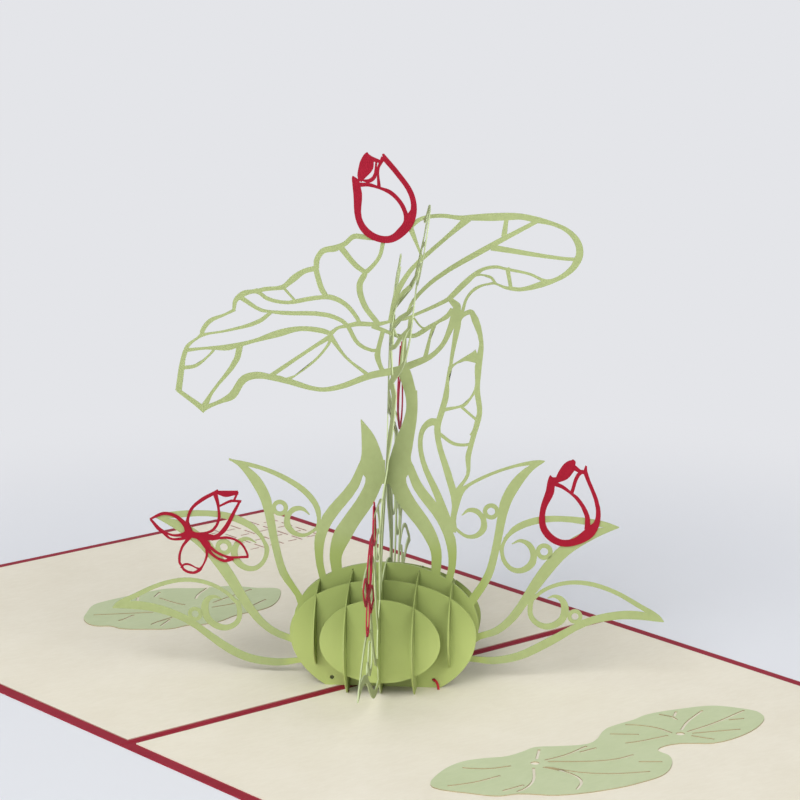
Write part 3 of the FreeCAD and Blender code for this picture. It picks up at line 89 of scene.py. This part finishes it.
# %% Socket wrapper
class Wire:
    """An output socket, or a number, that Python operators can work on."""

    def __init__(self, tree, socket):
        self.tree = tree
        self.socket = socket

    def node(self, kind, settings=None, values=None, output=0):
        """Adds a node, with its settings first and then the values or links of its sockets."""
        made = self.tree.nodes.new(kind)
        for name, value in (settings or {}).items():
            setattr(made, name, value)
        for name, value in (values or {}).items():
            if isinstance(value, Wire):
                self.tree.links.new(value.socket, made.inputs[name])
            else:
                made.inputs[name].default_value = value
        return Wire(self.tree, made.outputs[output])

    def maths(self, operation, other=None):
        """One Math node on this value."""
        values = {0: self}
        if other is not None:
            values[1] = other
        return self.node("ShaderNodeMath", {"operation": operation}, values)

    def __add__(self, other):
        return self.maths("ADD", other)

    __radd__ = __add__

    def __mul__(self, other):
        return self.maths("MULTIPLY", other)

    __rmul__ = __mul__

    def __sub__(self, other):
        return self.maths("SUBTRACT", other)

    def __rsub__(self, other):
        return (self * -1) + other

    def between(self, low, high):
        """0 at low, 1 at high, smooth and clamped."""
        settings = {"interpolation_type": "SMOOTHSTEP"}
        return self.node("ShaderNodeMapRange", settings, {"Value": self, "From Min": low, "From Max": high})

    def noise(self, scale, detail=3.0, roughness=0.5):
        """Noise at this place, from 0 to 1."""
        values = {"Vector": self, "Scale": scale, "Detail": detail, "Roughness": roughness}
        return self.node("ShaderNodeTexNoise", {}, values)

    def part(self, axis):
        """One part of this vector."""
        return self.node("ShaderNodeSeparateXYZ", {}, {0: self}, output=axis)

    def blend(self, first, second):
        """A colour that goes from first to second as this value goes from 0 to 1."""
        values = {"Factor": self, "A": first, "B": second}
        return self.node("ShaderNodeMix", {"data_type": "RGBA"}, values, output="Result")


# %% [markdown]
# ## Paper
# All the papers are uncoated or pearl stock. Close up they show fine fibres, a soft mottle
# and a faint tooth. The laser leaves the cut edges paler than the face on the green and the
# red sheets, and browned on the pale ones. Inside the lattice the green sheets get painted
# light at its foot, a fuller colour, and painted shade at its head, a darker one. One function
# makes all the papers, from two tones of the face and what else differs.

# %% Paper finish
FIBRE_SCALE = 900.0
MOTTLE_SCALE = 60.0
TOOTH_SCALE = 2600.0
FIBRE_STRETCH = (1.0, 0.35, 0.6)
FIBRE_SHARE = 0.55
CLOUD_SHARE = 0.5
GRAIN_RANGE = (0.25, 0.8)
CUT_SHARE = 0.8
ROUGHNESS_SWING = 0.12
TOOTH_DEPTH = 0.06 * MM
LOW_GLOSS = 0.15
# Where the painted light and shade of the lattice end: away from its middle line, and in height.
LATTICE_EDGE = (24 * MM, 27.5 * MM)
LATTICE_TOP = (32 * MM, 40 * MM)
LATTICE_FADE = (10 * MM, 26 * MM)


def colour(red, green, blue):
    """A colour as it looks on a screen, from 0 to 255, turned into linear light."""
    parts = []
    for value in (red, green, blue):
        share = value / 255
        parts.append(share / 12.92 if share <= 0.04045 else ((share + 0.055) / 1.055) ** 2.4)
    return (*parts, 1.0)


def new_material(name):
    """An empty node material and its main shader."""
    material = bpy.data.materials.new(name)
    material.use_nodes = True
    shader = next(n for n in material.node_tree.nodes if n.type == "BSDF_PRINCIPLED")
    return material, shader


def object_place(material):
    """The place on the object, in metres."""
    coordinates = material.node_tree.nodes.new("ShaderNodeTexCoord")
    return Wire(material.node_tree, coordinates.outputs["Object"])


def stretched(place, factors):
    """The same place with its axes stretched, for grain that runs one way."""
    return place.node("ShaderNodeVectorMath", {"operation": "MULTIPLY"}, {0: place, 1: factors})


def painted_lattice_light_and_shade(place, foot, head, elsewhere):
    """Painted light and shade in the colour of a sheet inside the lattice: brighter and fuller at its foot,
    darker at its head, and its plain tone elsewhere.
    """
    middle_line = (LATTICE_MIDDLE.x, LATTICE_MIDDLE.y, 0.0)
    ends = {0: stretched(place, (1.0, 1.0, 0.0)), 1: middle_line}
    away = place.node("ShaderNodeVectorMath", {"operation": "DISTANCE"}, ends, output="Value")
    height = place.part("Z")
    # Painted light and shade: the colour goes from a brighter, fuller foot to a darker head by height.
    inside = height.between(*LATTICE_FADE).blend(foot, head)
    outside = away.between(*LATTICE_EDGE).maths("MAXIMUM", height.between(*LATTICE_TOP))
    return outside.blend(inside, elsewhere)


def paper(name, tones, roughness=0.75, tooth=0.12, gloss=0.3, cut=None, lattice=None):
    """A sheet paper: fibres, mottle and tooth in two tones of one colour, the tone of its cut
    edges, and the painted light and shade of its two tones inside the lattice."""
    material, shader = new_material(name)
    tree = material.node_tree
    place = object_place(material)
    fibres = stretched(place, FIBRE_STRETCH).noise(FIBRE_SCALE, 4.0, 0.65)
    clouds = place.noise(MOTTLE_SCALE)
    grain = fibres * FIBRE_SHARE + clouds * CLOUD_SHARE
    tone = grain.between(*GRAIN_RANGE).blend(*tones)
    if lattice:
        tone = painted_lattice_light_and_shade(place, *lattice, tone)
    if cut:
        edges = place.node("ShaderNodeAttribute", {"attribute_name": "cut_edge"}, output="Fac")
        tone = (edges * CUT_SHARE).blend(tone, cut)
    tree.links.new(tone.socket, shader.inputs["Base Color"])
    rough = (fibres - 0.5) * ROUGHNESS_SWING + roughness
    tree.links.new(rough.socket, shader.inputs["Roughness"])
    bumps = place.noise(TOOTH_SCALE, 2.0, 0.6) * 0.6 + fibres * 0.4
    values = {"Strength": tooth, "Distance": TOOTH_DEPTH, "Height": bumps}
    tree.links.new(place.node("ShaderNodeBump", {}, values).socket, shader.inputs["Normal"])
    shader.inputs["Specular IOR Level"].default_value = gloss
    return material


# The two lattice tones of the green paper are painted light at the foot and painted shade at the head.
green_paper = paper("leaf_green_paper", (colour(145, 156, 104), colour(156, 167, 115)),
                    cut=colour(184, 196, 152), lattice=(colour(166, 179, 108), colour(142, 156, 88)))
cream_paper = paper("cream_paper", (colour(228, 221, 203), colour(235, 229, 213)),
                    roughness=0.8, cut=colour(160, 116, 104))
pad_paper = paper("pale_green_paper", (colour(188, 199, 158), colour(198, 207, 170)),
                  roughness=0.8, cut=colour(150, 128, 96))
crimson_paper = paper("crimson_paper", (colour(136, 7, 32), colour(151, 18, 43)),
                      roughness=0.6, gloss=LOW_GLOSS, cut=colour(168, 40, 62))
cover_card = paper("burgundy_card", (colour(139, 25, 44), colour(157, 43, 60)),
                   roughness=0.6, gloss=LOW_GLOSS)
red_thread = paper("red_thread", (colour(170, 24, 42), colour(196, 46, 60)), roughness=0.7, tooth=0.4)
print("papers:", [m.name for m in (green_paper, cream_paper, pad_paper, crimson_paper, cover_card)])

# %% [markdown]
# ## Round edges for the cut work
# The solids of the leaf, the fronds, the blooms and the pads have straight stretches between
# their corners. A laser follows them as smooth lines: sharp where two strands cross and round
# everywhere else. So one face of each solid is copied, each straight stretch of its rim is
# bent into a curve through the same corners, and the sheet gets its thickness back. A filled
# curve could do this too, but with so many rims side by side it leaves gaps.

# %% One face of a sheet, and its rims
def sheet_plane(across, up, node):
    """The plane of a sheet in millimetres: its across, up and outward directions, and its depth."""
    outward = across.cross(up)
    plane = Matrix((across, up, outward)).transposed().to_4x4()
    plane.translation = outward * middle_of(node).dot(outward)
    return plane @ Matrix.Scale(MM, 4)


def face_of(node, plane):
    """One face of a flat solid, laid down in its plane."""
    face = bmesh.new()
    face.from_mesh(nodes[node].data)
    bmesh.ops.transform(face, matrix=plane.inverted(), verts=face.verts)
    bmesh.ops.remove_doubles(face, verts=face.verts, dist=0.002)
    face.normal_update()
    others = [part for part in face.faces if part.normal.z < 0.9]
    bmesh.ops.delete(face, geom=others, context="FACES")
    return face


def next_on_rim(corner):
    """The corner that follows this one along the rim."""
    corner = corner.link_loop_next
    while not corner.edge.is_boundary:
        corner = corner.link_loop_radial_next.link_loop_next
    return corner


def rims_of(face):
    """Every rim of the face, as lists of corners in order."""
    corners = [corner for part in face.faces for corner in part.loops if corner.edge.is_boundary]
    seen_corners = set()
    rims = []
    for first in corners:
        if first in seen_corners:
            continue
        rim = [first]
        following = next_on_rim(first)
        while following is not first:
            rim.append(following)
            following = next_on_rim(following)
        seen_corners.update(rim)
        rims.append(rim)
    return rims


# %% [markdown]
# A corner that turns by more than SHARP_TURN stays sharp, and so does a stretch shorter than
# SHORTEST_BEND, in millimetres. Every other stretch gets points on a cubic curve.

# %% Round a rim
SHARP_TURN = math.radians(52)
SHORTEST_BEND = 0.25
BEND_STEPS = 4


def heading_at(before, spot, after):
    """The direction of the smooth line at a corner, or nothing where the corner stays sharp."""
    first = (spot - before).normalized()
    second = (after - spot).normalized()
    if first.angle(second, 0.0) > SHARP_TURN:
        return None
    return (first + second).normalized()


def bend_spots(start, end, leaving, arriving):
    """Points between two corners on a smooth line with the given directions at its ends."""
    reach = (end - start).length / 3
    first = start + leaving * reach if leaving else start.lerp(end, 1 / 3)
    second = end - arriving * reach if arriving else start.lerp(end, 2 / 3)
    spots = []
    for step in range(1, BEND_STEPS):
        share = step / BEND_STEPS
        rest = 1 - share
        spots.append(start * rest ** 3 + first * (3 * rest ** 2 * share)
                     + second * (3 * rest * share ** 2) + end * share ** 3)
    return spots


def bend_edge(edge, end, spots):
    """Lays new points along an edge, up to the vertex at its end."""
    for spot in spots:
        made, vertex = bmesh.utils.edge_split(edge, edge.other_vert(end), 0.5)
        vertex.co = spot
        if end not in edge.verts:
            edge = made


def round_rims(face):
    """Bends every straight stretch of every rim."""
    bends = []
    for rim in rims_of(face):
        places = [corner.vert.co.copy() for corner in rim]
        count = len(rim)
        headings = [heading_at(places[index - 1], places[index], places[(index + 1) % count])
                    for index in range(count)]
        for index, corner in enumerate(rim):
            after = (index + 1) % count
            length = (places[after] - places[index]).length
            if length > SHORTEST_BEND and (headings[index] or headings[after]):
                spots = bend_spots(places[index], places[after], headings[index], headings[after])
                bends.append((corner.edge, corner.link_loop_next.vert, spots))
    for edge, end, spots in bends:
        bend_edge(edge, end, spots)
    return len(bends)


# %% [markdown]
# The rounded face becomes a sheet with a thickness. Its cut edges are marked, because the
# finish shows them in another tone, and the sheet takes the place of its node.

# %% One smooth sheet
def mark_cut_edges(sheet, plane):
    """Notes on every face whether it is a cut edge of the sheet, for the finish to read."""
    outward = plane.col[2].to_3d().normalized()
    marks = sheet.data.attributes.new("cut_edge", "FLOAT", "FACE")
    for face in sheet.data.polygons:
        marks.data[face.index].value = 1.0 if abs(face.normal.dot(outward)) < 0.5 else 0.0


def smooth_sheet(node, plane, thickness):
    """Draws a flat sheet again with round edges and puts it in the place of its node."""
    bpy.ops.object.select_all(action="DESELECT")
    face = face_of(node, plane)
    bends = round_rims(face)
    mesh = bpy.data.meshes.new(node + "_paper")
    face.to_mesh(mesh)
    face.free()
    mesh.transform(plane)
    sheet = bpy.data.objects.new(node + "_paper", mesh)
    bpy.context.scene.collection.objects.link(sheet)
    bpy.context.view_layer.objects.active = sheet
    sheet.select_set(True)
    depth = sheet.modifiers.new("thickness", "SOLIDIFY")
    depth.thickness = thickness
    depth.offset = -1
    bpy.ops.object.modifier_apply(modifier=depth.name)
    bpy.ops.object.shade_flat()
    mark_cut_edges(sheet, plane)
    subpart = next(part for part in frame["record"]["subparts"] if part["node"] == node)
    sheet.data.materials.append(FINISHES[subpart["material_slot"]])
    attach(sheet, "root")
    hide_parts(node)
    print(sheet.name, bends, "bends,", len(sheet.data.polygons), "faces")
    return sheet


# %% [markdown]
# ## Which piece has which paper
# Every slot of the record has one finish, and every piece gets that of its slot.

# %% Give each piece its paper
FINISHES = {
    "cover": cover_card,
    "liner": cream_paper,
    "lily_pad": pad_paper,
    "green_slat": green_paper,
    "red_bloom": crimson_paper,
    "red_thread": red_thread,
}
for subpart in frame["record"]["subparts"]:
    piece = nodes[subpart["node"]]
    piece.data.materials.clear()
    piece.data.materials.append(FINISHES[subpart["material_slot"]])

# %% [markdown]
# ## The sheets of cut work, drawn smooth
# The two middle slats carry the leaf and the fronds. The blooms are glued on them. The pads
# lie flat on the pages, and so does the left liner with its fret.

# %% Smooth slats, blooms and pads
UP = Vector((0, 0, 1))
PAPER_THICKNESS = 0.3 * MM
FRONT_SHEETS = ("front_slat_middle", "top_bud", "right_bud", "left_flower")
CROSS_SHEETS = ("cross_slat_middle", "cross_front_flower", "cross_front_bud", "cross_rear_bud")
FLAT_SHEETS = ("back_lily_pad", "front_lily_pads", "left_liner")
smooth = {}
for along, names in ((ALONG_FRONT, FRONT_SHEETS), (ALONG_CROSS, CROSS_SHEETS)):
    for sheet_name in names:
        plane = sheet_plane(along, UP, sheet_name)
        smooth[sheet_name] = smooth_sheet(sheet_name, plane, PAPER_THICKNESS)
for sheet_name in FLAT_SHEETS:
    plane = sheet_plane(Vector((1, 0, 0)), Vector((0, 1, 0)), sheet_name)
    low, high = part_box(sheet_name)
    smooth[sheet_name] = smooth_sheet(sheet_name, plane, high[2] - low[2])

# %% [markdown]
# ## The leaf of the cross slat leans
# Real paper this thin doesn't stand quite straight. The leaf of the cross slat leans to the
# right as it rises, more in front than behind. Every point of the sheet moves square to it,
# by an amount read from a short list of heights, so the sheet stays one smooth surface. The
# lists give the height over the page and the lean there, both in millimetres.

# %% Lean of the cross leaf
FRONT_LEAN = [(50, 0.0), (57, 1.3), (77, 3.6), (91, 6.2), (107, 8.0), (122, 10.3), (130, 11.5)]
REAR_LEAN = [(50, 0.0), (80, 0.84), (85, 1.1), (95.5, 2.1), (101, 2.9), (108, 4.0), (130, 6.0)]
FRONT_TURN = 0.085
REAR_TURN = 0.09
LEAF_FOOT = 50.0
LEAF_FREE = 66.0
BLEND_WIDTH = [(90, 12.0), (104, 5.0)]


def along_list(value, pairs):
    """The second number of a list of pairs at a value of the first, in straight runs."""
    for (low, first), (high, second) in zip(pairs, pairs[1:]):
        if value <= high:
            share = max(0.0, (value - low) / (high - low))
            return first + (second - first) * share
    return pairs[-1][1]


def soft_step(value):
    """0 below 0, 1 above 1, smooth between."""
    value = min(1.0, max(0.0, value))
    return value * value * (3 - 2 * value)


def lean_leaf(sheet):
    """Moves the upper part of the cross sheet to the right, by its height and place."""
    for vertex in sheet.data.vertices:
        spot = (vertex.co - LATTICE_MIDDLE) / MM
        away = spot.dot(ALONG_CROSS)
        freedom = soft_step((spot.z - LEAF_FOOT) / (LEAF_FREE - LEAF_FOOT))
        in_front = soft_step(-away / along_list(spot.z, BLEND_WIDTH))
        front = along_list(spot.z, FRONT_LEAN) - FRONT_TURN * away * freedom
        rear = along_list(spot.z, REAR_LEAN) - REAR_TURN * away * freedom
        vertex.co += ALONG_FRONT * ((rear + (front - rear) * in_front) * MM)


lean_leaf(smooth["cross_slat_middle"])
print("the cross leaf leans", max(pair[1] for pair in FRONT_LEAN), "mm at its tip")

# %% [markdown]
# ## Table and backdrop
# The card lies on a white studio table that sweeps up into a pale wall. It is a plane whose
# far edge is drawn up, with a round corner between table and wall.

# %% Table sweep
CAMERA_TURN = math.radians(50.11)
TABLE_HALF = 3.0
TABLE_FRONT = -2.0
WALL_PLACE = 2.4
WALL_ROUND = 0.8
WALL_TOP = 3.0
bpy.ops.object.select_all(action="DESELECT")
bpy.ops.mesh.primitive_plane_add(size=1, location=(0, (WALL_PLACE + TABLE_FRONT) / 2, 0))
table = bpy.context.object
table.name = "studio_table"
table.scale = (2 * TABLE_HALF, WALL_PLACE - TABLE_FRONT, 1)
bpy.ops.object.transform_apply(location=True, rotation=True, scale=True)


def pick_far_edge():
    """Selects the far edge of the table, where the wall stands."""
    bpy.ops.object.mode_set(mode="OBJECT")
    for vertex in table.data.vertices:
        vertex.select = vertex.co.y > 0 and vertex.co.z < WALL_TOP / 2
    bpy.ops.object.mode_set(mode="EDIT")


bpy.ops.object.mode_set(mode="EDIT")
bpy.ops.mesh.select_mode(type="VERT")
bpy.ops.mesh.select_all(action="DESELECT")
pick_far_edge()
bpy.ops.mesh.extrude_region_move(TRANSFORM_OT_translate={"value": (0, 0, WALL_TOP)})
bpy.ops.mesh.select_all(action="DESELECT")
pick_far_edge()
bpy.ops.mesh.bevel(offset=WALL_ROUND, segments=12, affect="EDGES")
bpy.ops.mesh.select_all(action="SELECT")
bpy.ops.mesh.normals_make_consistent(inside=False)
bpy.ops.object.mode_set(mode="OBJECT")
bpy.ops.object.shade_smooth()
table.rotation_euler = (0, 0, CAMERA_TURN)
print("table sweep:", len(table.data.polygons), "faces")

# %% [markdown]
# Near the card the table is plain matt paint that takes the shadow. Further off it fades, for
# the camera and for reflections only, into an even pale tone, so that the wall has no edge.

# %% Table finish
BACKDROP_TONE = colour(228, 229, 233)
FADE_START = 0.13
FADE_END = 0.30
table_finish, table_shader = new_material("studio_table")
table_shader.inputs["Base Color"].default_value = colour(224, 226, 231)
table_shader.inputs["Roughness"].default_value = 0.95
table_shader.inputs["Specular IOR Level"].default_value = 0.1
table_tree = table_finish.node_tree
spot = object_place(table_finish)
far_off = spot.node("ShaderNodeVectorMath", {"operation": "LENGTH"}, {0: spot}, output="Value")
far_off = far_off.between(FADE_START, FADE_END)
ray = table_tree.nodes.new("ShaderNodeLightPath")
seen = Wire(table_tree, ray.outputs["Is Camera Ray"])
seen = seen.maths("MAXIMUM", Wire(table_tree, ray.outputs["Is Glossy Ray"]))
seen = seen.maths("MAXIMUM", Wire(table_tree, ray.outputs["Is Transmission Ray"]))
even_tone = spot.node("ShaderNodeEmission", {}, {"Color": BACKDROP_TONE, "Strength": 1.0})
painted = Wire(table_tree, table_shader.outputs["BSDF"])
faded = spot.node("ShaderNodeMixShader", {}, {0: far_off * seen, 1: painted, 2: even_tone})
table_output = next(n for n in table_tree.nodes if n.type == "OUTPUT_MATERIAL")
table_tree.links.new(faded.socket, table_output.inputs["Surface"])
table.data.materials.append(table_finish)
print("table fades from", FADE_START, "m to", FADE_END, "m")

# %% [markdown]
# ## Light
# Two large soft lamps stand in front of the card, the stronger one to the left, and a small
# one low in front brightens the upright sheets. The shadows stay soft.

# %% Lamps
TO_READER = Vector((math.sin(CAMERA_TURN), -math.cos(CAMERA_TURN), 0))
TO_RIGHT = Vector((math.cos(CAMERA_TURN), math.sin(CAMERA_TURN), 0))
LAMP_TARGET = Vector((0, 0, 0.04))
# Name, then metres to the right, to the reader and up, then the size and the power.
LAMPS = [
    ("key_light", -1.15, 2.16, 2.06, 2.2, 77),
    ("fill_light", 1.62, 1.80, 1.76, 2.2, 39),
    ("low_light", -0.4, 2.6, 0.55, 0.9, 16),
]


def area_lamp(name, place, size, power):
    """A soft round lamp that looks at the card."""
    data = bpy.data.lights.new(name, "AREA")
    data.shape = "DISK"
    data.size = size
    data.energy = power
    lamp = bpy.data.objects.new(name, data)
    bpy.context.scene.collection.objects.link(lamp)
    lamp.location = place
    lamp.rotation_euler = (LAMP_TARGET - place).to_track_quat("-Z", "Y").to_euler()


for lamp_name, right, reader, up, size, power in LAMPS:
    area_lamp(lamp_name, right * TO_RIGHT + reader * TO_READER + up * UP, size, power)
print("lamps:", len(LAMPS))

# %% [markdown]
# The world gives a little light from all round. To the camera it shows the tone of the
# backdrop, so that the card looks the same against it from every side.

# %% World
AMBIENT_STRENGTH = 0.23
world = bpy.data.worlds.new("studio")
bpy.context.scene.world = world
world.use_nodes = True
world_tree = world.node_tree
ambient = world_tree.nodes["Background"]
ambient.inputs["Color"].default_value = (0.97, 0.98, 1.0, 1)
ambient.inputs["Strength"].default_value = AMBIENT_STRENGTH
world_ray = world_tree.nodes.new("ShaderNodeLightPath")
world_seen = Wire(world_tree, world_ray.outputs["Is Camera Ray"])
pale = world_seen.node("ShaderNodeBackground", {}, {"Color": BACKDROP_TONE, "Strength": 1.0})
soft = Wire(world_tree, ambient.outputs["Background"])
both = world_seen.node("ShaderNodeMixShader", {}, {0: world_seen, 1: soft, 2: pale})
world_output = next(n for n in world_tree.nodes if n.type == "OUTPUT_WORLD")
world_tree.links.new(both.socket, world_output.inputs["Surface"])
print("world strength", AMBIENT_STRENGTH)

# %% [markdown]
# ## Camera
# The picture was taken with a long lens from a little above the lotus, square to the front
# family of slats.

# %% Camera
LENS = 141.4
LENS_SHIFT = (-0.0009, 0.0008)
CAMERA_PITCH = math.radians(13.068)
CAMERA_FROM_LATTICE = Vector((0.5928, -0.4906, 0.2510))
camera_data = bpy.data.cameras.new("camera")
camera_data.lens = LENS
camera_data.sensor_width = 36.0
camera_data.shift_x, camera_data.shift_y = LENS_SHIFT
camera = bpy.data.objects.new("camera", camera_data)
bpy.context.scene.collection.objects.link(camera)
camera.location = LATTICE_MIDDLE + CAMERA_FROM_LATTICE
camera.rotation_euler = (math.pi / 2 - CAMERA_PITCH, 0, CAMERA_TURN)
bpy.context.scene.camera = camera
bpy.context.scene.view_settings.view_transform = "Standard"
print("camera", round(CAMERA_FROM_LATTICE.length, 3), "m from the lotus")
